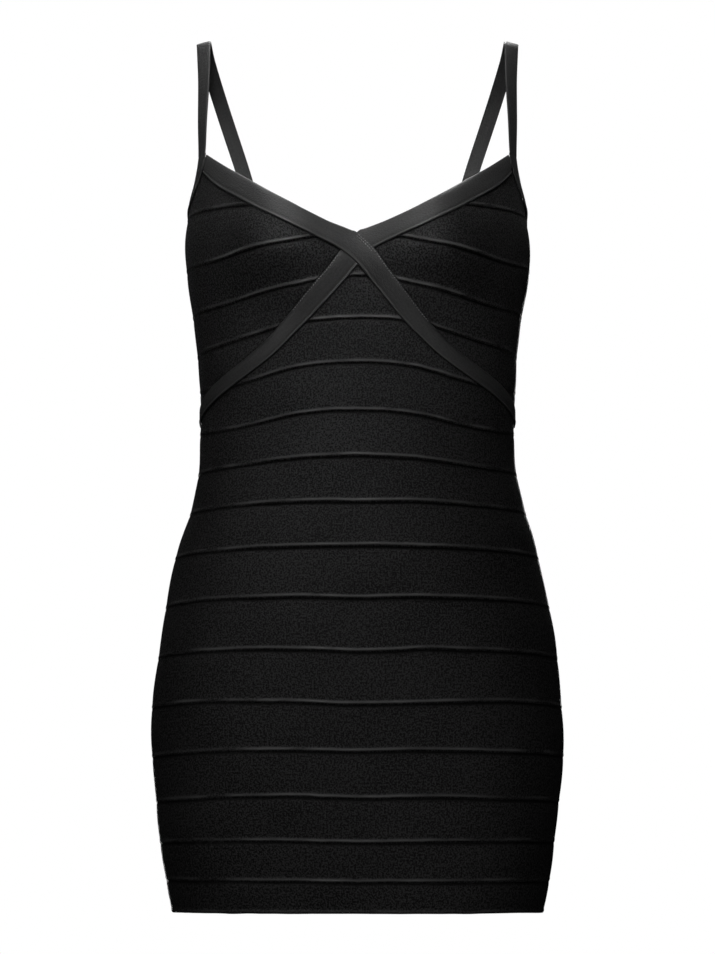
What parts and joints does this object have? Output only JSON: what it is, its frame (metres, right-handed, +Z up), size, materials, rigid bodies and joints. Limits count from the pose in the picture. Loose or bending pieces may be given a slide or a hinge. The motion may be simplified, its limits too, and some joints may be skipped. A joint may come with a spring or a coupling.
{
  "type": "bandage mini dress",
  "caption": "Short close-fitting dress of horizontal knitted strips, with a V neck, crossed bands under the bust and thin shoulder straps.",
  "frame": {"origin": "the shoulder line: midway between the two straps, level with where they lie on the shoulders, over the side seams", "axes": "+Z up, -Y towards the front of the dress, +X towards the wearer's left"},
  "size_m": [0.3468, 0.2405, 0.7618],
  "materials": {
    "knit_strip": "black fine-gauge bandage knit, matt with a soft sheen",
    "band": "black smooth knitted band, slightly lighter and glossier than the strips, stitched along its edges"
  },
  "bodies": {
    "root": {"front_strip_01_left": "knit_strip", "front_strip_01_right": "knit_strip", "front_strip_02_left": "knit_strip", "front_strip_02_right": "knit_strip", "front_strip_03": "knit_strip", "front_strip_04": "knit_strip", "front_strip_05": "knit_strip", "front_strip_06": "knit_strip", "front_strip_07": "knit_strip", "front_strip_08": "knit_strip", "front_strip_09": "knit_strip", "front_strip_10": "knit_strip", "front_strip_11": "knit_strip", "front_strip_12": "knit_strip", "front_strip_13": "knit_strip", "front_strip_14": "knit_strip", "front_strip_15": "knit_strip", "front_strip_16": "knit_strip", "front_strip_17": "knit_strip", "back_strip_02": "knit_strip", "back_strip_03": "knit_strip", "back_strip_04": "knit_strip", "back_strip_05": "knit_strip", "back_strip_06": "knit_strip", "back_strip_07": "knit_strip", "back_strip_08": "knit_strip", "back_strip_09": "knit_strip", "back_strip_10": "knit_strip", "back_strip_11": "knit_strip", "back_strip_12": "knit_strip", "back_strip_13": "knit_strip", "back_strip_14": "knit_strip", "back_strip_15": "knit_strip", "back_strip_16": "knit_strip", "back_strip_17": "knit_strip", "cross_band_over": "band", "cross_band_under": "band", "back_binding": "band", "strap_left": "band", "strap_right": "band"}
  },
  "joints": []
}
